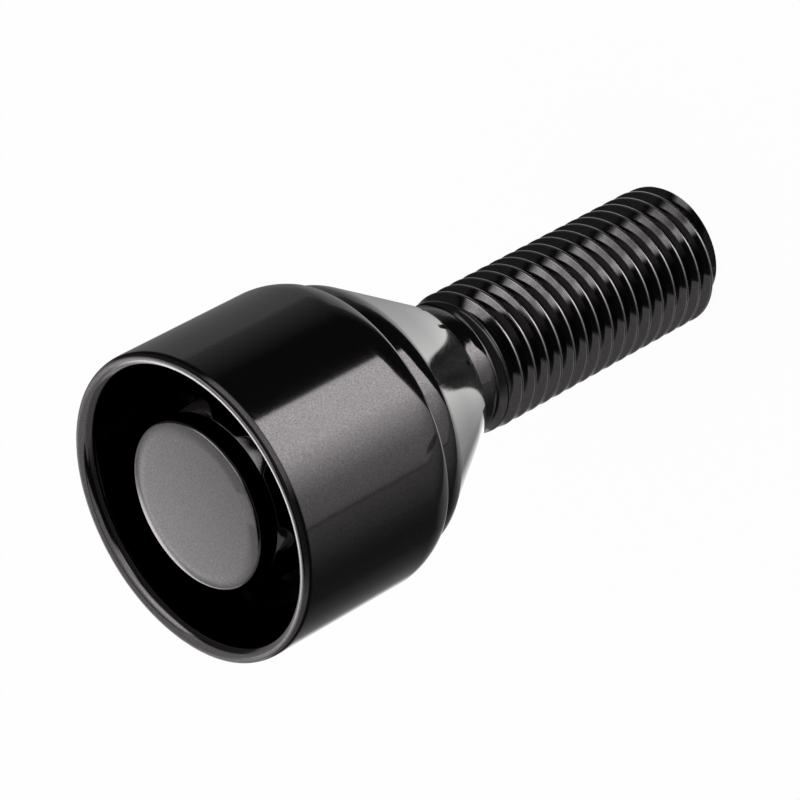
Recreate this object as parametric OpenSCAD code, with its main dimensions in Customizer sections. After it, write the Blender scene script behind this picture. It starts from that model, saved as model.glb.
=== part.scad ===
// Locking wheel bolt with a free-spinning collar, standing on its thread end.
// The bolt is one forged and turned piece; the collar turns loosely on its bearing rim.
// Z runs along the axis, from the thread end at 0 up to the head. Millimetres.

/* [Thread] */
// Outside diameter of the thread
thread_d = 11.85; // [11:0.05:12.6]
// Length of the thread, from the end face to the run-out
thread_len = 25.05; // [15:0.05:45]
// Width of the steep chamfer round the end face, on the radius
end_chamfer_w = 0.775; // [0.3:0.025:1.2]
// Height of that chamfer
end_chamfer_h = 0.35; // [0.2:0.05:0.8]
// Height of the shallow taper over the first turn
lead_taper_h = 1.1; // [0.6:0.1:2]
// Depth of the shallow taper, on the radius
lead_taper_depth = 0.25; // [0.1:0.05:0.4]

/* [Neck] */
// Depth of the plain neck below the thread's crests, on the radius
neck_cut = 0.425; // [0.2:0.025:0.8]
// Length of the plain neck
neck_len = 2.85; // [1:0.05:6]
// Length of the thread's run-out, where it tapers into the neck
runout_len = 1; // [0.5:0.1:2]
// Fillet between the neck and the seat
neck_fillet = 0.7; // [0.3:0.1:0.9]

/* [Seat] */
// Included angle of the conical seat
seat_angle = 60; // [50:1:90]
// Width of the ledge between the neck and the small end of the seat
seat_ledge = 1.225; // [1:0.025:2]
// Radius that rounds the large end of the seat into the shoulder
seat_round = 3; // [1:0.5:4]
// Length of the straight shoulder, from the rounding to the bearing rim
shoulder_len = 2; // [1.7:0.1:4]

/* [Bearing rim] */
// Reach of the rim past the shoulder, on the radius; the collar's lip hooks behind it
rim_reach = 0.4; // [0.3:0.05:1]
// Thickness of the rim
rim_t = 1.5; // [1:0.1:3]

/* [Key core] */
// Length of the lobed core, from the rim to the foot of the cap
core_len = 10.15; // [6:0.05:14]
// Diameter of the core at the bottom of its valleys
core_d = 14; // [12:0.1:16]
// Height of the lobes above the valleys
lobe_rise = 0.85; // [0.6:0.05:1.2]
// Radius of a lobe of the middle width
lobe_r = 1.95; // [1.6:0.05:2.2]
// Fillet in the corners beside each lobe
lobe_fillet = 0.7; // [0.4:0.05:1]
// Slope of the chamfer that leads the key on, over the ends of the lobes
lead_slope = 45; // [30:1:50]
// Depth of the round cap's side below the floor of the valleys
cap_inset = 0.07; // [0.04:0.01:1]
// Height of the round cap above the foot of its side
cap_h = 1.85; // [0.5:0.05:4]
// Rounding of the cap's edge
cap_round = 0.3; // [0.1:0.05:0.5]

/* [Collar] */
// Outside diameter of the collar
collar_d = 25.3; // [22.5:0.1:30]
// Wall of the collar round the key core
collar_wall = 1.35; // [1.1:0.05:2]
// Wall of the collar round the bearing rim
groove_wall = 0.65; // [0.6:0.05:1.1]
// Height of the collar's front edge above the face of the cap
collar_proud = 0.8; // [0:0.1:3]
// Rounding of the front edge, outside; the inside takes the rest of the wall
front_round = 0.35; // [0.2:0.05:0.9]
// Flat that is left between the outer and the inner rounding of the front edge
front_flat = 0.05; // [0.02:0.01:0.1]
// Thickness of the lip that is rolled in behind the bearing rim
lip_t = 1; // [0.6:0.1:1.4]
// Radius of the rolled shoulder at the rear
roll_round = 5; // [4:0.5:10]
// Length of the rolled shoulder
roll_len = 2.2; // [1.8:0.1:2.4]

/* [Fits] */
// Running clearance on the radius, between collar and bolt
radial_gap = 0.15; // [0.1:0.01:0.2]
// Running clearance at each face of the bearing rim
axial_gap = 0.2; // [0.1:0.05:0.3]

/* [Hidden] */
$fn = 96;
steel_black = [0.13, 0.125, 0.13];
collar_black = [0.17, 0.165, 0.17];
overlap = 0.4;

// The code that the key has to match: angle of each lobe round the core, and its width against lobe_r
code = [[22, 1], [70, 0.75], [121, 1], [172, 1.15], [223.5, 0.6], [282, 1], [334, 1.15]];
lobes = len(code);
core_r = core_d / 2;
tip_r = core_r + lobe_rise;
cap_r = core_r - cap_inset;

// Radii of the head, from the collar inwards
collar_r = collar_d / 2;
bore_r = collar_r - collar_wall;
groove_r = collar_r - groove_wall;
rim_r = groove_r - radial_gap;
shoulder_r = rim_r - rim_reach;
lip_bore_r = shoulder_r + radial_gap;
front_round_in = collar_wall - front_round - front_flat;

// Radii of the shank and the seat
thread_r = thread_d / 2;
lead_r = thread_r - lead_taper_depth;
end_r = lead_r - end_chamfer_w;
neck_r = thread_r - neck_cut;
seat_small_r = neck_r + seat_ledge;
seat_slope = seat_angle / 2;
seat_large_r = shoulder_r - seat_round * (1 - cos(seat_slope));

// Heights along the axis, from the end face up
neck_z = thread_len + runout_len;
seat_z = neck_z + neck_len;
seat_top_z = seat_z + (seat_large_r - seat_small_r) / tan(seat_slope);
shoulder_z = seat_top_z + seat_round * sin(seat_slope);
rim_z = shoulder_z + shoulder_len;
rim_top_z = rim_z + rim_t;
land_z = rim_top_z + core_len;
face_z = land_z + cap_h;

// Heights of the collar, which is placed by the bearing rim and the cap
lip_top_z = rim_z - axial_gap;
collar_rear_z = lip_top_z - lip_t;
collar_step_z = rim_top_z + axial_gap;
collar_front_z = face_z + collar_proud;

// Points on an arc about [x, y], from angle a to angle b
function arc(x, y, r, a, b, steps = 8) =
    [for (i = [0:steps]) let (t = a + (b - a) * i / steps) [x + r * cos(t), y + r * sin(t)]];

// The same without its two end points, for an arc that joins others
function arc_between(x, y, r, a, b, steps = 8) =
    [for (i = [1:steps - 1]) let (t = a + (b - a) * i / steps) [x + r * cos(t), y + r * sin(t)]];

// Half section of the turned body: radius across, height up
function body_profile() = concat(
    [[0, 0], [end_r, 0], [lead_r, end_chamfer_h], [thread_r, end_chamfer_h + lead_taper_h]],
    [[thread_r, thread_len], [neck_r, neck_z]],
    arc(neck_r + neck_fillet, seat_z - neck_fillet, neck_fillet, 180, 90, 6),
    [[seat_small_r, seat_z]],
    arc(shoulder_r - seat_round, shoulder_z, seat_round, -seat_slope, 0, 6),
    [[shoulder_r, rim_z], [rim_r, rim_z], [rim_r, rim_top_z], [cap_r, rim_top_z]],
    arc(cap_r - cap_round, face_z - cap_round, cap_round, 0, 90, 6),
    [[0, face_z]]
);

// Radius of lobe i, and the distance of its centre from the axis
function lobe_radius(i) = lobe_r * code[i % lobes][1];
function lobe_at(i) = tip_r - lobe_radius(i);

// Angle at one corner of a triangle, between sides p and q, with side s across from it
function corner(p, q, s) = acos((p * p + q * q - s * s) / (2 * p * q));

// Half the angle, seen from the axis, between the feet of lobe i
function foot_angle(i) = corner(core_r + lobe_fillet, lobe_at(i), lobe_radius(i) + lobe_fillet);

// Angle that the fillet beside lobe i turns through
function fillet_turn(i) = corner(core_r + lobe_fillet, lobe_radius(i) + lobe_fillet, lobe_at(i));

// The fillet on one side of lobe i: side is -1 before the lobe, and 1 after it
function fillet(i, side) = let (
    foot = code[i][0] + side * foot_angle(i),
    reach = core_r + lobe_fillet,
    valley_end = foot + 180,
    lobe_end = valley_end + side * fillet_turn(i)
) arc(
    reach * cos(foot), reach * sin(foot), lobe_fillet,
    side < 0 ? valley_end : lobe_end, side < 0 ? lobe_end : valley_end, 4);

// Outline over lobe i and along the valley that follows it
function lobe_outline(i) = let (
    a = code[i][0],
    half_turn = foot_angle(i) + fillet_turn(i),
    next = code[(i + 1) % lobes][0] + (i == lobes - 1 ? 360 : 0)
) concat(
    fillet(i, -1),
    arc_between(
        lobe_at(i) * cos(a), lobe_at(i) * sin(a), lobe_radius(i), a - half_turn, a + half_turn, 10),
    fillet(i, 1),
    arc_between(0, 0, core_r, a + foot_angle(i), next - foot_angle(i + 1), 4)
);

// Outline of the lobed core
module core_outline() {
    polygon([for (i = [0:lobes - 1]) each lobe_outline(i)]);
}

// Half section of the envelope of the core: the lead chamfer starts at the foot of the cap
function lead_profile() = let (
    reach = tip_r + overlap,
    fall = tan(lead_slope)
) [
    [0, rim_top_z - 2 * overlap], [reach, rim_top_z - 2 * overlap],
    [reach, land_z - (reach - cap_r) * fall],
    [cap_r - overlap, land_z + overlap * fall], [0, land_z + overlap * fall]
];

// The lobed core, with the chamfer turned over the ends of its lobes
module key_core() {
    intersection() {
        translate([0, 0, rim_top_z - overlap])
            linear_extrude(core_len + 3 * overlap) core_outline();
        rotate_extrude() polygon(lead_profile());
    }
}

module bolt() {
    color(steel_black) {
        rotate_extrude() polygon(body_profile());
        key_core();
    }
}

// Half section of the collar: radius across, height up
function collar_profile() = concat(
    [[lip_bore_r, collar_rear_z]],
    arc(collar_r - roll_round, collar_rear_z + roll_len, roll_round, -asin(roll_len / roll_round), 0, 8),
    arc(collar_r - front_round, collar_front_z - front_round, front_round, 0, 90, 5),
    arc(bore_r + front_round_in, collar_front_z - front_round_in, front_round_in, 90, 180, 9),
    [[bore_r, collar_step_z], [groove_r, collar_step_z], [groove_r, lip_top_z], [lip_bore_r, lip_top_z]]
);

module collar() {
    color(collar_black)
        rotate_extrude() polygon(collar_profile());
}

bolt();
collar();
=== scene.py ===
import math

import bmesh
import bpy
from mathutils import Matrix, Vector


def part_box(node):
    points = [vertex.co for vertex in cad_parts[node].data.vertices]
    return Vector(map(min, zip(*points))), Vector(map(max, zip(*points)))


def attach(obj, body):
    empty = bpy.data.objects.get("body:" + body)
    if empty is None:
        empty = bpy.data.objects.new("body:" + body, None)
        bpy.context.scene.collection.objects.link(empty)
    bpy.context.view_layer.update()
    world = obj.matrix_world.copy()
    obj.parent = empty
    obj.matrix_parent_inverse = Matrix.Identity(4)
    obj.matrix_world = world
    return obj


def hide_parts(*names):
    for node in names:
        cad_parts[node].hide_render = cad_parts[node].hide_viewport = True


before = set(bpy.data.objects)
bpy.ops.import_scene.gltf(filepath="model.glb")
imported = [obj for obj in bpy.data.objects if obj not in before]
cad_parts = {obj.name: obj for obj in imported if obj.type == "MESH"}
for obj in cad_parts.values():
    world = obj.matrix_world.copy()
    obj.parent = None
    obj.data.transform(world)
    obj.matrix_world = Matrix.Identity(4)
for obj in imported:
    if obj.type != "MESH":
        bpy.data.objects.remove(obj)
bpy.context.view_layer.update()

# All sizes are in millimetres. Heights run from the thread end, at 0, up to the head.
mm = 0.001


# Shader helpers: a wire carries one socket's value, so that shader maths reads as plain maths

class Wire:
    def __init__(self, graph, socket):
        self.graph = graph
        self.socket = socket

    def maths(self, operation, *others):
        inputs = {0: self}
        for place, other in enumerate(others):
            inputs[place + 1] = other
        return self.graph.node("ShaderNodeMath", {"operation": operation}, inputs)

    def __add__(self, other):
        return self.maths("ADD", other)

    __radd__ = __add__

    def __mul__(self, other):
        return self.maths("MULTIPLY", other)

    __rmul__ = __mul__

    def __sub__(self, other):
        return self.maths("SUBTRACT", other)

    def __rsub__(self, other):
        return self.graph.number(other).maths("SUBTRACT", self)

    def __truediv__(self, other):
        return self.maths("DIVIDE", other)

    def __rtruediv__(self, other):
        return self.graph.number(other).maths("DIVIDE", self)

    def __pow__(self, other):
        return self.maths("POWER", other)

    def __rpow__(self, other):
        return self.graph.number(other).maths("POWER", self)

    def between(self, low, high):
        # 0 at low, 1 at high and smooth in between; low may be the larger one
        settings = {"interpolation_type": "SMOOTHSTEP"}
        inputs = {"Value": self, "From Min": min(low, high), "From Max": max(low, high)}
        if low > high:
            inputs.update({"To Min": 1.0, "To Max": 0.0})
        return self.graph.node("ShaderNodeMapRange", settings, inputs)

    def window(self, start, full, fullEnd, end):
        # 1 from full to fullEnd, and 0 outside start and end
        return self.between(start, full) * self.between(end, fullEnd)


class Graph:
    def __init__(self, tree):
        self.tree = tree
        tree.nodes.clear()

    def node(self, kind, settings=None, inputs=None, output=0):
        made = self.tree.nodes.new(kind)
        for name, value in (settings or {}).items():
            if name == "stops":
                self.setStops(made.color_ramp, value)
            else:
                setattr(made, name, value)
        for name, value in (inputs or {}).items():
            self.feed(made.inputs[name], value)
        return Wire(self, made.outputs[output]) if len(made.outputs) else None

    def feed(self, socket, value):
        if isinstance(value, Wire):
            self.tree.links.new(value.socket, socket)
        else:
            socket.default_value = value

    def setStops(self, ramp, stops):
        while len(ramp.elements) < len(stops):
            ramp.elements.new(0.5)
        for element, (place, colour) in zip(ramp.elements, stops):
            element.position = place
            element.color = (*colour, 1)

    def number(self, value):
        return self.node("ShaderNodeMath", {"operation": "ADD"}, {0: value, 1: 0.0})

    def mixColour(self, factor, first, second):
        settings = {"data_type": "RGBA"}
        return self.node("ShaderNodeMix", settings, {0: factor, 6: first, 7: second}, output=2)

    def noise(self, place, look):
        scale, detail, roughness = look
        inputs = {"Vector": place, "Scale": scale, "Detail": detail, "Roughness": roughness}
        return self.node("ShaderNodeTexNoise", {}, inputs)

    def stretched(self, place, factors):
        return self.node("ShaderNodeVectorMath", {"operation": "MULTIPLY"}, {0: place, 1: factors})

    def partsInMm(self, place):
        kind = "ShaderNodeSeparateXYZ"
        return [self.node(kind, {}, {0: place}, output=index) / mm for index in range(3)]


def azimuthOf(x, y):
    return y.maths("ARCTAN2", x) * math.degrees(1)


def distance(x, y):
    return (x * x + y * y) ** 0.5


def newMaterial(name):
    material = bpy.data.materials.new(name)
    material.use_nodes = True
    return material, Graph(material.node_tree)


# Mesh helpers: a ring is a list of points round the axis, and a stack of rings makes a skin

sharpAngle = 35     # degrees; an edge that bends more stays sharp


def evenAngles(count):
    return [math.tau * step / count for step in range(count)]


def circleRing(radius, height, angles):
    return [
        Vector((radius * math.cos(angle), radius * math.sin(angle), height)) * mm
        for angle in angles
    ]


def stackRings(mesh, rings, closed=False):
    made = [[mesh.verts.new(point) for point in ring] for ring in rings]
    following = made[1:] + (made[:1] if closed else [])
    for lower, upper in zip(made, following):
        count = len(lower)
        for here in range(count):
            after = (here + 1) % count
            mesh.faces.new((lower[here], lower[after], upper[after], upper[here]))
    return made


def zipRings(mesh, lower, upper):
    # two rings with different counts, sorted by angle and joined by triangles
    def angleOf(vert, turns):
        return math.atan2(vert.co.y, vert.co.x) % math.tau + turns * math.tau

    low = sorted(lower, key=lambda vert: angleOf(vert, 0))
    high = sorted(upper, key=lambda vert: angleOf(vert, 0))
    lowAt = highAt = 0
    while lowAt < len(low) or highAt < len(high):
        lowNext = low[(lowAt + 1) % len(low)]
        highNext = high[(highAt + 1) % len(high)]
        lowAngle = angleOf(lowNext, (lowAt + 1) // len(low))
        highAngle = angleOf(highNext, (highAt + 1) // len(high))
        lowHere = low[lowAt % len(low)]
        highHere = high[highAt % len(high)]
        if highAt >= len(high) or (lowAt < len(low) and lowAngle <= highAngle):
            mesh.faces.new((lowHere, lowNext, highHere))
            lowAt += 1
        else:
            mesh.faces.new((lowHere, highNext, highHere))
            highAt += 1


def ovalPoints(centre, across, deep, start, end, steps):
    # points of an oval arc in the half section: (radius, height), angles in degrees
    points = []
    for step in range(steps + 1):
        angle = math.radians(start + (end - start) * step / steps)
        points.append((centre[0] + across * math.cos(angle), centre[1] + deep * math.sin(angle)))
    return points


def arcPoints(centre, radius, start, end, steps):
    return ovalPoints(centre, radius, radius, start, end, steps)


def linkMesh(name, mesh, material):
    data = bpy.data.meshes.new(name)
    mesh.to_mesh(data)
    mesh.free()
    data.materials.append(material)
    made = bpy.data.objects.new(name, data)
    bpy.context.scene.collection.objects.link(made)
    return made


def finishPiece(name, mesh, material, body, node):
    bmesh.ops.recalc_face_normals(mesh, faces=mesh.faces)
    piece = linkMesh(name, mesh, material)
    faces = piece.data.polygons
    faces.foreach_set("use_smooth", [True] * len(faces))
    piece.data.set_sharp_from_angle(angle=math.radians(sharpAngle))
    weighted = piece.modifiers.new("evenShading", "WEIGHTED_NORMAL")
    weighted.keep_sharp = True
    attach(piece, body)
    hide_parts(node)
    print(name, "has", sum(len(face.vertices) - 2 for face in faces), "triangles")


# The bolt's core: round lobes on a round stem, as the key needs them

core = {
    # the key's code: angle of each lobe round the core, and its width against lobeRadius
    "code": [(22, 1), (70, 0.75), (121, 1), (172, 1.15), (223.5, 0.6), (282, 1), (334, 1.15)],
    "valleyRadius": 7.0,
    "lobeRise": 0.85,
    "lobeRadius": 1.95,
    "lobeFillet": 0.7,
    "leadSlope": 45,        # degrees
    "leadEdge": 0.04,
    "foot": [(-0.25, 0), (-0.07, 0.07), (0, 0.25)],     # inset and height of its fillet
    "sideRings": (0.35, 0.7),       # shares of its length
    "filletSteps": 5,
    "lobeSteps": 16,
    "valleySteps": 6,
}


def cornerAngle(first, second, across):
    # angle between two sides of a triangle, with the third side across from it
    return math.degrees(math.acos(
        (first ** 2 + second ** 2 - across ** 2) / (2 * first * second)))


def coreOutline(inset):
    valley = core["valleyRadius"]
    fillet = core["lobeFillet"]
    reach = valley + fillet
    lobes = []
    for angle, width in core["code"]:
        radius = core["lobeRadius"] * width
        centre = valley + core["lobeRise"] - radius
        lobes.append({
            "angle": angle,
            "radius": radius,
            "centre": centre,
            "foot": cornerAngle(reach, centre, radius + fillet),
            "turn": cornerAngle(reach, radius + fillet, centre),
        })

    def polar(radius, angle):
        return radius * math.cos(math.radians(angle)), radius * math.sin(math.radians(angle))

    def filletPoints(lobe, side):
        foot = lobe["angle"] + side * lobe["foot"]
        atValley = foot + 180
        atLobe = atValley + side * lobe["turn"]
        ends = (atValley, atLobe) if side < 0 else (atLobe, atValley)
        return arcPoints(polar(reach, foot), fillet + inset, *ends, core["filletSteps"])

    points = []
    for index, lobe in enumerate(lobes):
        following = lobes[(index + 1) % len(lobes)]
        nextAngle = following["angle"] + (360 if index == len(lobes) - 1 else 0)
        half = lobe["foot"] + lobe["turn"]
        lobeArc = arcPoints(
            polar(lobe["centre"], lobe["angle"]), lobe["radius"] - inset,
            lobe["angle"] - half, lobe["angle"] + half, core["lobeSteps"])
        valleyArc = arcPoints(
            (0, 0), valley - inset, lobe["angle"] + lobe["foot"], nextAngle - following["foot"],
            core["valleySteps"])
        points += filletPoints(lobe, -1)
        points += lobeArc[1:-1]
        points += filletPoints(lobe, 1)
        points += valleyArc[1:-1]
    return points


# every ring of the bolt's head has its points at the angles of the core's outline
ringAngles = [math.atan2(y, x) for x, y in coreOutline(0)]


def coreRing(inset, height):
    return [Vector((x, y, height)) * mm for x, y in coreOutline(inset)]


def leadRing(inset, landTop, drop):
    # the outline where the lead chamfer meets the side of the core, or a little below
    fall = math.tan(math.radians(core["leadSlope"]))
    ring = []
    for x, y in coreOutline(inset):
        height = landTop - (math.hypot(x, y) - head["capRadius"]) * fall - drop
        ring.append(Vector((x, y, height)) * mm)
    return ring


# The thread: one profile of a turn, carried up a helix, and cut flat at both ends

thread = {
    "pitch": 1.5,
    "crestRadius": 5.925,
    "depth": 0.92,
    "crestFlat": 0.095,
    "crestRound": 0.08,
    "rootRound": 0.2165,
    "flankAngle": 30,       # degrees
    "crestAtZero": 0.45,    # height of the first crest on the +X side
    "endRadius": 5.1,
    "chamferHeight": 0.3,
    "taperRadius": 5.78,
    "taperHeight": 1.0,
    "fadeFrom": 24.3,       # the run-out fades into the neck
    "fadeTo": 27.1,
    "top": 27.3,
    "firstTurn": -2,        # turns below 0 are cut off, and stay clear of the axis
    "leastRadius": 0.5,
    "crestSteps": 3,
    "rootSteps": 4,
}

cutReach = 1e-9         # metres: a point this near to a cut lies on it
cutSearch = 1e-8


def threadProfile():
    # points (height from the crest's middle, radius) over one pitch, from root to root
    turn = math.pi / 2 - math.radians(thread["flankAngle"])
    crest = thread["crestRadius"]
    root = thread["rootRound"]
    rootCentre = crest - thread["depth"] + root
    rightRoot = []
    for step in range(thread["rootSteps"] + 1):
        angle = turn * step / thread["rootSteps"]
        rightRoot.append((
            thread["pitch"] / 2 - root * math.sin(angle), rootCentre - root * math.cos(angle)))
    edge = thread["crestFlat"] / 2
    bend = thread["crestRound"]
    rightCrest = []
    for step in range(thread["crestSteps"] + 1):
        angle = turn * (1 - step / thread["crestSteps"])
        rightCrest.append((edge + bend * math.sin(angle), crest - bend + bend * math.cos(angle)))
    right = rightCrest[::-1] + rightRoot[::-1]
    left = [(-height, radius) for height, radius in right]
    return left[::-1][1:] + right


def smoothStep(value, low, high):
    share = min(max((value - low) / (high - low), 0), 1)
    return share * share * (3 - 2 * share)


def shankRadius(radius, height):
    # the chamfer and the lead taper trim the first turn, and the run-out fades into the neck
    end = thread["endRadius"]
    lead = thread["taperRadius"]
    chamfer = thread["chamferHeight"]
    if height < chamfer:
        limit = end + (lead - end) * (height / chamfer)
    else:
        share = min((height - chamfer) / (thread["taperHeight"] - chamfer), 1)
        limit = lead + (thread["crestRadius"] - lead) * share
    trimmed = min(radius, max(limit, thread["leastRadius"]))
    fade = smoothStep(height, thread["fadeFrom"], thread["fadeTo"])
    return trimmed * (1 - fade) + head["neckRadius"] * fade


def addShank(mesh):
    # rows follow the helix: after one turn a row meets the row one pitch higher
    profile = threadProfile()[:-1]
    angles = sorted(angle % math.tau for angle in ringAngles)
    pitch = thread["pitch"]
    lastTurn = math.ceil(thread["top"] / pitch) + 1
    rows = []
    for turn in range(thread["firstTurn"], lastTurn):
        for height, radius in profile:
            row = []
            for angle in angles:
                z = thread["crestAtZero"] + pitch * (turn + angle / math.tau) + height
                across = shankRadius(radius, z)
                point = (across * math.cos(angle) * mm, across * math.sin(angle) * mm, z * mm)
                row.append(mesh.verts.new(point))
            rows.append(row)
    perTurn = len(profile)
    for index in range(len(rows) - 1):
        for here in range(len(angles)):
            if here + 1 < len(angles):
                lower, upper = rows[index][here + 1], rows[index + 1][here + 1]
            elif index + perTurn + 1 < len(rows):
                lower, upper = rows[index + perTurn][0], rows[index + perTurn + 1][0]
            else:
                continue
            mesh.faces.new((rows[index][here], lower, upper, rows[index + 1][here]))
    for height, keepAbove in ((0, True), (thread["top"], False)):
        geometry = mesh.verts[:] + mesh.edges[:] + mesh.faces[:]
        bmesh.ops.bisect_plane(
            mesh, geom=geometry, dist=cutReach, plane_co=(0, 0, height * mm), plane_no=(0, 0, 1),
            clear_inner=keepAbove, clear_outer=not keepAbove)

    def vertsAt(height):
        return [vert for vert in mesh.verts if abs(vert.co.z - height * mm) < cutSearch]

    bottom = sorted(vertsAt(0), key=lambda vert: math.atan2(vert.co.y, vert.co.x))
    mesh.faces.new(bottom[::-1])
    return vertsAt(thread["top"])


# The head: neck, seat, shoulder and bearing rim below the core, and the round cap above it

head = {
    "neckRadius": 5.5,
    "neckFillet": 0.7,
    "neckRise": 0.3,        # first ring of the neck, above the top of the thread
    "seatBottom": 28.9,
    "seatSmallRadius": 6.66,
    "seatSlope": 31,        # degrees
    "seatRound": 3.0,
    "seatEdge": 0.07,
    "seatRings": (0.33, 0.66),
    "shoulderRadius": 11.45,
    "shoulderLength": 2.184,
    "rimRadius": 11.85,
    "rimThickness": 1.5,
    "rimEdge": 0.12,
    "rimFlatRadius": 9.6,
    "coreLength": 10.15,
    "capRadius": 6.93,
    "capHeight": 1.85,
    "capEdge": 0.3,
    "capRings": (0.8, 0.4),
    "filletSteps": 8,
    "seatEdgeSteps": 4,
    "seatRoundSteps": 12,
    "rimEdgeSteps": 3,
    "capEdgeSteps": 5,
}


def headProfile():
    # circle rings from the neck up to the top of the bearing rim
    turn = head["seatSlope"]
    slope = math.radians(turn)
    neck = head["neckRadius"]
    fillet = head["neckFillet"]
    bottom = head["seatBottom"]
    small = head["seatSmallRadius"]
    edge = head["seatEdge"]
    bend = head["seatRound"]
    shoulder = head["shoulderRadius"]
    large = shoulder - bend * (1 - math.cos(slope))
    top = bottom + (large - small) / math.tan(slope)
    shoulderFrom = top + bend * math.sin(slope)
    rimBottom = shoulderFrom + head["shoulderLength"]
    rimTop = rimBottom + head["rimThickness"]
    rimEdge = head["rimEdge"]
    rimAcross = head["rimRadius"] - rimEdge
    rimSteps = head["rimEdgeSteps"]
    # the small edge's centre lies one edge radius from the ledge and from the cone
    edgeAcross = small + edge * (math.tan(slope) - 1 / math.cos(slope))
    points = [(neck, thread["top"] + head["neckRise"])]
    points += arcPoints((neck + fillet, bottom - fillet), fillet, 180, 90, head["filletSteps"])
    points += arcPoints((edgeAcross, bottom + edge), edge, -90, -turn, head["seatEdgeSteps"])
    for share in head["seatRings"]:
        points.append((small + (large - small) * share, bottom + (top - bottom) * share))
    points += arcPoints((shoulder - bend, shoulderFrom), bend, -turn, 0, head["seatRoundSteps"])
    points += [(shoulder, rimBottom), (rimAcross, rimBottom)]
    points += arcPoints((rimAcross, rimBottom + rimEdge), rimEdge, -90, 0, rimSteps)[1:]
    points += arcPoints((rimAcross, rimTop - rimEdge), rimEdge, 0, 90, rimSteps)
    return points, rimTop


def buildBolt(material):
    mesh = bmesh.new()
    shankTop = addShank(mesh)
    lowerHead, rimTop = headProfile()
    landTop = rimTop + head["coreLength"]
    face = landTop + head["capHeight"]
    radius = head["capRadius"]
    edge = head["capEdge"]
    cap = [(radius, landTop)]
    cap += arcPoints((radius - edge, face - edge), edge, 0, 90, head["capEdgeSteps"])
    cap += [(radius * share, face) for share in head["capRings"]]
    lowerHead.append((head["rimFlatRadius"], rimTop))
    rings = [circleRing(across, height, ringAngles) for across, height in lowerHead]
    rings += [coreRing(inset, rimTop + height) for inset, height in core["foot"]]
    rings += [coreRing(0, rimTop + head["coreLength"] * share) for share in core["sideRings"]]
    rings += [leadRing(0, landTop, core["leadEdge"]), leadRing(core["leadEdge"], landTop, 0)]
    rings += [circleRing(across, height, ringAngles) for across, height in cap]
    skin = stackRings(mesh, rings)
    zipRings(mesh, shankTop, skin[0])
    mesh.faces.new(skin[-1])
    finishPiece("lockingBolt", mesh, material, "bolt_body", "bolt")


# The collar: a closed half section turned round the axis

collar = {
    "outerRadius": 12.65,
    "boreRadius": 11.3,
    "grooveRadius": 12.0,
    "grooveWidth": 1.9,
    "lipRadius": 11.6,
    "lipThickness": 1.0,
    "rollRadius": 5.0,
    "rollLength": 2.2,
    "rearEdge": 0.1,
    "rearArcFrom": -60,             # degrees; the flat of the lip ends before it
    "frontRoundOut": (0.27, 0.8, 14),       # across, deep and steps
    "frontRoundIn": (1.03, 1.2, 16),
    "sideRings": (0.3, 0.6),        # shares of the straight side, and of the bore
    "boreRings": (0.35, 0.7),
    "rollSteps": 12,
    "rearSteps": 3,
    "segments": 256,
}


def collarProfile():
    low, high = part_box("collar")
    rear = low.z / mm
    front = high.z / mm
    outer = collar["outerRadius"]
    bore = collar["boreRadius"]
    groove = collar["grooveRadius"]
    lip = collar["lipRadius"]
    lipTop = rear + collar["lipThickness"]
    grooveTop = lipTop + collar["grooveWidth"]
    roll = collar["rollRadius"]
    rollTop = rear + collar["rollLength"]
    bend = math.degrees(math.asin(collar["rollLength"] / roll))
    rollPoints = arcPoints((outer - roll, rollTop), roll, -bend, 0, collar["rollSteps"])
    edge = collar["rearEdge"]
    edgeAcross = rollPoints[0][0] - edge
    points = [(lip, rear), (edgeAcross, rear)]
    points += arcPoints(
        (edgeAcross, rear + edge), edge, collar["rearArcFrom"], -bend, collar["rearSteps"])
    points += [point for point in rollPoints if point[1] > rear + edge]
    points += [(outer, rollTop + (front - rollTop) * share) for share in collar["sideRings"]]
    across, deep, steps = collar["frontRoundOut"]
    points += ovalPoints((outer - across, front - deep), across, deep, 0, 90, steps)
    across, deep, steps = collar["frontRoundIn"]
    points += ovalPoints((bore + across, front - deep), across, deep, 90, 180, steps)
    points += [(bore, front - (front - grooveTop) * share) for share in collar["boreRings"]]
    points += [(bore, grooveTop), (groove, grooveTop), (groove, lipTop), (lip, lipTop)]
    return points


def buildCollar(material):
    mesh = bmesh.new()
    angles = evenAngles(collar["segments"])
    rings = [circleRing(radius, height, angles) for radius, height in collarProfile()]
    stackRings(mesh, rings, closed=True)
    finishPiece("spinningCollar", mesh, material, "collar_body", "collar")


# Finishes: a satin black coat over steel, with a fine grain

coat = {
    "dark": (0.112, 0.105, 0.109, 1),
    "light": (0.168, 0.158, 0.162, 1),
    "grain": (8500, 2.0, 0.6),      # scale, detail and roughness of a noise
    "grainDepth": 0.0000005,
    "grainShades": (0.3, 0.7),
    "patches": (260, 3.0, 0.55),
    "roughnessSwing": 0.03,
    "patchSwing": 0.03,
    "boltRoughness": 0.085,
    "collarRoughness": 0.11,
}

# The turned seat carries a thinner coat with fine lathe rings, and its colour is painted brighter
# towards the neck as a painted reflection
seat = {
    "zone": (29.0, 29.2, 35.8, 36.2),       # heights
    "roughness": 0.045,
    "level": 0.301,
    "tint": (0.98, 1.0, 0.97),
    # painted reflection: between these heights the seat's colour grows brighter towards the neck
    "paintedReflectionHeights": (33.5, 29.5),           # from the height of the first to that of the second
    "paintedReflectionGain": 0.55,
    "rings": (7500, 2.0, 0.6),
    "ringStretch": (0.08, 0.08, 1.0),
    "ringDepth": 0.000001,
}

# The crests of the thread are worn paler, as far as the run-out
wear = {
    "radii": (5.83, 5.89),
    "heights": (25.2, 24.7),
    "amount": 0.65,
    "shade": (0.43, 0.42, 0.42, 1),
}

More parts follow.
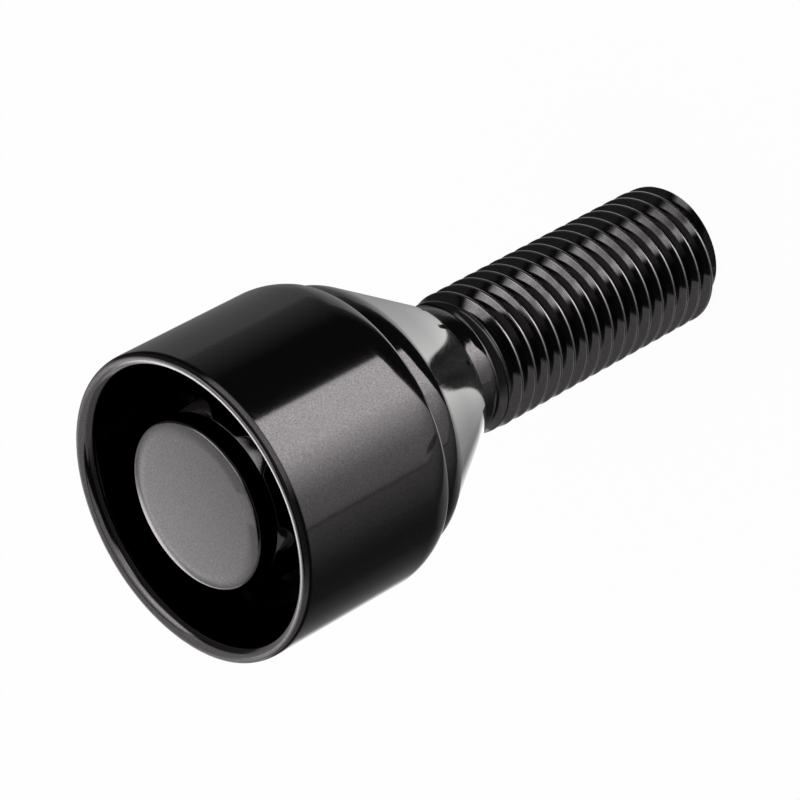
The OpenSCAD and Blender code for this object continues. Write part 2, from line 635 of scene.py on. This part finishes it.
# A dark rub mark lies on the collar's rolled shoulder
rub = {
    "azimuth": -109.8,
    "height": 40.0,
    "lean": -2.1,           # degrees a millimetre
    "halfWidth": 0.34,
    "halfLength": 0.9,
    "edge": (1.4, 0.3),
    "amount": 0.85,
    "shade": (0.035, 0.033, 0.034, 1),
}


def addBoltDetail(graph, place, look):
    x, y, z = graph.partsInMm(place)
    worn = distance(x, y).between(*wear["radii"]) * z.between(*wear["heights"])
    look["shade"] = graph.mixColour(worn * wear["amount"], look["shade"], wear["shade"])
    onSeat = z.window(*seat["zone"])
    rings = graph.noise(graph.stretched(place, seat["ringStretch"]), seat["rings"])
    look["height"] = look["height"] + onSeat * (rings - 0.5) * seat["ringDepth"]
    look["rough"] = look["rough"] - onSeat * (coat["boltRoughness"] - seat["roughness"])
    # painted reflection: the seat's colour is made brighter towards the neck
    level = (z.between(*seat["paintedReflectionHeights"]) * seat["paintedReflectionGain"] + 1) * seat["level"]
    bright = graph.node(
        "ShaderNodeVectorMath", {"operation": "SCALE"}, {0: seat["tint"], "Scale": level})
    look["shade"] = graph.mixColour(onSeat, look["shade"], bright)


def addCollarDetail(graph, place, look):
    x, y, z = graph.partsInMm(place)
    off = z - rub["height"]
    turn = azimuthOf(x, y) - off * rub["lean"] - rub["azimuth"]
    side = turn * math.radians(collar["outerRadius"])
    mark = (side / rub["halfWidth"]) ** 2 + (off / rub["halfLength"]) ** 2
    marked = mark.between(*rub["edge"]) * rub["amount"]
    look["shade"] = graph.mixColour(marked, look["shade"], rub["shade"])


def coatMaterial(name, roughness, addDetail):
    material, graph = newMaterial(name)
    place = graph.node("ShaderNodeTexCoord", output=3)
    grain = graph.noise(place, coat["grain"])
    patches = graph.noise(place, coat["patches"])
    swing = (grain - 0.5) * coat["roughnessSwing"] + (patches - 0.5) * coat["patchSwing"]
    look = {
        "shade": graph.mixColour(grain.between(*coat["grainShades"]), coat["dark"], coat["light"]),
        "height": grain * coat["grainDepth"],
        "rough": swing + roughness,
    }
    addDetail(graph, place, look)
    bump = graph.node(
        "ShaderNodeBump", {}, {"Strength": 1.0, "Distance": 1.0, "Height": look["height"]})
    surface = graph.node("ShaderNodeBsdfPrincipled", {}, {
        "Base Color": look["shade"], "Metallic": 1.0, "Roughness": look["rough"],
        "Normal": bump})
    graph.node("ShaderNodeOutputMaterial", {}, {"Surface": surface})
    return material


# Studio: a pale floor and soft light, in a drum of light and dark cards that only show in gloss

studio = {
    "floorRadius": 3000,
    "floorSegments": 96,
    "floorDrop": 0.02,
    "floorPaint": (0.86, 0.86, 0.86, 1),
    "floorGlow": 0.96,
    "worldLevel": 1.0,
    "drumRadius": 400,
    "drumHole": 0.5,
    "drumBottom": -60,
    "drumTop": 95,
    "drumSegments": 128,
}

overhead = {
    "azimuth": -70,
    "elevation": 62,
    "distance": 500,
    "aim": 35,              # height of the point that it faces
    "size": (300, 100),
    "level": 2.4,
}

# What the gloss sees below, by the azimuth in degrees and in lengths of mm: a softbox in front,
# black cloth to its right, and white paper that is brightest under the bolt
floorLook = {
    "levels": [
        (-180, 0.03), (-169, 0.06), (-149, 0.18), (-140, 0.24), (-138, 0.36), (-119, 0.55),
        (-110, 0.9), (-99, 1.55), (-88, 2.3), (-64, 2.45), (-45, 2.0), (-44, 0.0), (-20, 0.0),
        (-11, 0.04), (10, 0.14), (12, 0.24), (68, 0.18), (80, 0.25), (98, 1.6), (112, 0.85),
        (121, 0.26), (142, 0.11), (162, 0.03)],
    "top": 2.5,
    "cloth": (-44, -42),            # the softbox's edge doesn't shade what lies past the cloth
    "edgeAt": -20,                  # the softbox ends at a curved edge
    "edgeBend": 0.0045,
    "edgeBlur": 1.2,
    "edgeStraight": (-96, -124),    # further out its edge runs straight
    "edgeSlope": 0.584,
    "softboxEnd": (222, 190),
    "seamAngle": -139.4,
    "seamHalf": (0.52, 1.3),
    "seamLevel": 0.4,
    "lowFront": 0.6,                # a weak light beyond the softbox, and up the foot of the wall
    "lowFrontFrom": (222, 252),
    "lowFrontAngles": (-118, -88, -28, -14),
    "paper": 1.33,
    "paperCore": 15,
    "paperTop": 1.4,
    "paperFall": (32, 58),          # to the left and to the right
    "paperMiddle": (-12, 12),
    "paperEnd": (128, 100),
    "paperFront": (-6, 4),
    "hiddenAt": 3,                  # the foot of the bolt hides the paper under it
    "hidden": (5, 8),
    "rest": 0.02,
}

wallLook = {
    "levels": [
        (-180, 0.3), (-165, 0.15), (-150, 0.05), (50, 0.06), (56, 0.4), (74, 0.55),
        (80, 0.8), (84, 1.25), (88, 3.8), (99, 3.8), (105, 1.8), (112, 0.9), (123, 1.1),
        (128, 0.3), (160, 0.25)],
    "top": 3.8,
    "lowFrontHeights": (46, 30),
}

ceilingLook = {
    "field": 0.62,
    "fieldLeft": 0.3,
    "fieldRise": (-60, -30),
    "fieldRight": (66, 34),
    "fieldFrom": (13, 17),
    "fieldForward": 25,             # its left end reaches further forward
    "forwardFrom": (-36, -50),
    "bar": 0.6,                     # a narrow light in front of the field
    "barAcross": (-22, -14, 65, 71),
    "barAlong": (-22, -14, 8, 12),
    "hot": 1.3,                     # a hot spot on the bar's right
    "hotCentre": (44, -10),
    "hotReach": (36, 8),
    "patches": [(10, -42, 16, 0.9), (16, -22, 26, 0.95)],       # x, y, radius and level
    "patchCore": 0.4,
    "face": 0.66,                   # what the face of the cap sees
    "faceCentre": 62,
    "faceHalf": (13, 19),
    "faceEdge": (1.3, 0.75),
    "faceSlope": 0.045,
    "wallFrom": (80, 94),
    "rest": 0.015,
}


def levelByAzimuth(graph, azimuth, look):
    pairs = look["levels"] + [(180, look["levels"][0][1])]
    stops = [((angle + 180) / 360, (level / look["top"],) * 3) for angle, level in pairs]
    share = azimuth / 360 + 0.5
    return graph.node("ShaderNodeValToRGB", {"stops": stops}, {0: share}) * look["top"]


def lowFront(azimuth):
    return azimuth.window(*floorLook["lowFrontAngles"]) * floorLook["lowFront"]


def floorLevel(graph, place):
    x, y, _ = graph.partsInMm(place)
    azimuth = azimuthOf(x, y)
    radius = distance(x, y)
    straight = y.between(*floorLook["edgeStraight"])
    edge = (y * y * floorLook["edgeBend"] + floorLook["edgeAt"]) * (1 - straight)
    edge = edge - y * straight * floorLook["edgeSlope"]
    inside = (x - edge).between(floorLook["edgeBlur"], -floorLook["edgeBlur"])
    inside = inside.maths("MAXIMUM", azimuth.between(*floorLook["cloth"]))
    seam = (azimuth - floorLook["seamAngle"]).maths("ABSOLUTE").between(*floorLook["seamHalf"])
    far = levelByAzimuth(graph, azimuth, floorLook) * inside
    far = far * (seam * (1 - floorLook["seamLevel"]) + floorLook["seamLevel"])
    far = far * radius.between(*floorLook["softboxEnd"])
    far = far + lowFront(azimuth) * radius.between(*floorLook["lowFrontFrom"])
    fallLeft, fallRight = floorLook["paperFall"]
    fall = x.between(*floorLook["paperMiddle"]) * (fallRight - fallLeft) + fallLeft
    paper = math.e ** ((floorLook["paperCore"] - radius) / fall) * floorLook["paper"]
    paper = paper.maths("MINIMUM", floorLook["paperTop"])
    paper = paper * distance(x, y - floorLook["hiddenAt"]).between(*floorLook["hidden"])
    paper = paper * radius.between(*floorLook["paperEnd"]) * y.between(*floorLook["paperFront"])
    return far.maths("MAXIMUM", paper) + floorLook["rest"]


def wallLevel(graph, place):
    x, y, z = graph.partsInMm(place)
    azimuth = azimuthOf(x, y)
    low = z.between(*wallLook["lowFrontHeights"]) * lowFront(azimuth)
    return levelByAzimuth(graph, azimuth, wallLook) + low


def ceilingLevel(graph, place):
    x, y, _ = graph.partsInMm(place)
    left = ceilingLook["fieldLeft"]
    field = x.between(*ceilingLook["fieldRise"]) * (ceilingLook["field"] - left) + left
    forward = x.between(*ceilingLook["forwardFrom"]) * ceilingLook["fieldForward"]
    field = field * x.between(*ceilingLook["fieldRight"])
    field = field * (y + forward).between(*ceilingLook["fieldFrom"])
    bar = x.window(*ceilingLook["barAcross"]) * y.window(*ceilingLook["barAlong"])
    hotX, hotY = ceilingLook["hotCentre"]
    hot = distance(x - hotX, y - hotY).between(*ceilingLook["hotReach"]) * ceilingLook["hot"]
    ahead = y - ceilingLook["faceCentre"]
    halfAcross, halfAlong = ceilingLook["faceHalf"]
    onFace = distance(x / halfAcross, ahead / halfAlong).between(*ceilingLook["faceEdge"])
    face = (ahead * ceilingLook["faceSlope"] + ceilingLook["face"]) * onFace
    behind = levelByAzimuth(graph, azimuthOf(x, y), wallLook)
    behind = behind * distance(x, y).between(*ceilingLook["wallFrom"])
    glow = field + bar * ceilingLook["bar"] + hot + face.maths("MAXIMUM", 0.0)
    glow = glow.maths("MAXIMUM", behind)
    for patchX, patchY, reach, level in ceilingLook["patches"]:
        off = distance(x - patchX, y - patchY)
        glow = glow + off.between(reach, reach * ceilingLook["patchCore"]) * level
    return glow + ceilingLook["rest"]


def addGlossCard(name, circles, levelOf):
    # a ring of faces between two circles: flat for the floor and the ceiling, upright for the wall
    mesh = bmesh.new()
    angles = evenAngles(studio["drumSegments"])
    stackRings(mesh, [circleRing(radius, height, angles) for radius, height in circles])
    material, graph = newMaterial(name + "Glow")
    place = graph.node("ShaderNodeTexCoord", output=3)
    glow = graph.node("ShaderNodeEmission", {}, {"Strength": levelOf(graph, place)})
    graph.node("ShaderNodeOutputMaterial", {}, {"Surface": glow})
    card = linkMesh(name, mesh, material)
    card.visible_camera = False
    card.visible_diffuse = False
    card.visible_shadow = False
    card.visible_transmission = False
    card.visible_volume_scatter = False


def addOverhead():
    azimuth = math.radians(overhead["azimuth"])
    elevation = math.radians(overhead["elevation"])
    direction = Vector((
        math.cos(elevation) * math.cos(azimuth),
        math.cos(elevation) * math.sin(azimuth),
        math.sin(elevation)))
    width, length = [side * mm for side in overhead["size"]]
    data = bpy.data.lights.new("overheadSoftbox", "AREA")
    data.shape = "RECTANGLE"
    data.size = width
    data.size_y = length
    data.energy = overhead["level"] * math.pi * width * length
    light = bpy.data.objects.new("overheadSoftbox", data)
    light.location = (Vector((0, 0, overhead["aim"])) + direction * overhead["distance"]) * mm
    light.rotation_euler = direction.to_track_quat("Z", "Y").to_euler()
    light.visible_camera = False
    light.visible_glossy = False
    bpy.context.scene.collection.objects.link(light)


def addFloor():
    # white to the camera and to gloss, and painted for light and shadow
    material, graph = newMaterial("paleFloor")
    rays = ("Is Camera Ray", "Is Glossy Ray", "Is Transmission Ray")
    seen, glossy, through = [graph.node("ShaderNodeLightPath", output=ray) for ray in rays]
    direct = (seen + glossy + through).between(0, 1) * studio["floorGlow"]
    paint = graph.node("ShaderNodeBsdfDiffuse", {}, {"Color": studio["floorPaint"]})
    glow = graph.node("ShaderNodeEmission", {}, {"Strength": 1.0})
    both = graph.node("ShaderNodeMixShader", {}, {0: direct, 1: paint, 2: glow})
    graph.node("ShaderNodeOutputMaterial", {}, {"Surface": both})
    mesh = bmesh.new()
    bmesh.ops.create_circle(
        mesh, cap_ends=True, segments=studio["floorSegments"], radius=studio["floorRadius"] * mm)
    floor = linkMesh("floor", mesh, material)
    floor.location.z = -studio["floorDrop"] * mm
    floor.visible_glossy = False        # gloss sees the cards of the drum


def buildStudio():
    addFloor()
    drum = studio["drumRadius"]
    hole = studio["drumHole"]
    bottom = studio["drumBottom"]
    top = studio["drumTop"]
    addGlossCard("floorCard", [(hole, bottom), (drum, bottom)], floorLevel)
    addGlossCard("wallCard", [(drum, bottom), (drum, top)], wallLevel)
    addGlossCard("ceilingCard", [(drum, top), (hole, top)], ceilingLevel)
    addOverhead()
    world = bpy.data.worlds.new("studioWorld")
    world.use_nodes = True
    graph = Graph(world.node_tree)
    sky = graph.node("ShaderNodeBackground", {}, {"Strength": studio["worldLevel"]})
    graph.node("ShaderNodeOutputWorld", {}, {"Surface": sky})
    bpy.context.scene.world = world
    print("studio built")


# Camera: a long lens that looks down on the cap, rolled so that the bolt lies across the frame

view = {
    "position": (-0.2594, -256.972, 225.866),
    "right": (-0.47576, -0.53013, -0.70186),
    "up": (0.87957, -0.28675, -0.37964),
    "lens": 186.2165,
    "sensor": 36,
    "clipStart": 10,
}


def addCamera():
    data = bpy.data.cameras.new("photoCamera")
    data.lens = view["lens"]
    data.sensor_width = view["sensor"]
    data.clip_start = view["clipStart"] * mm
    camera = bpy.data.objects.new("photoCamera", data)
    right = Vector(view["right"]).normalized()
    up = Vector(view["up"]).normalized()
    turn = Matrix((right, up, right.cross(up))).transposed().to_4x4()
    camera.matrix_world = Matrix.Translation(Vector(view["position"]) * mm) @ turn
    bpy.context.scene.collection.objects.link(camera)
    bpy.context.scene.camera = camera
    print("camera placed")


buildBolt(coatMaterial("boltCoat", coat["boltRoughness"], addBoltDetail))
buildCollar(coatMaterial("collarCoat", coat["collarRoughness"], addCollarDetail))
buildStudio()
addCamera()

bpy.context.scene.view_settings.view_transform = "Standard"
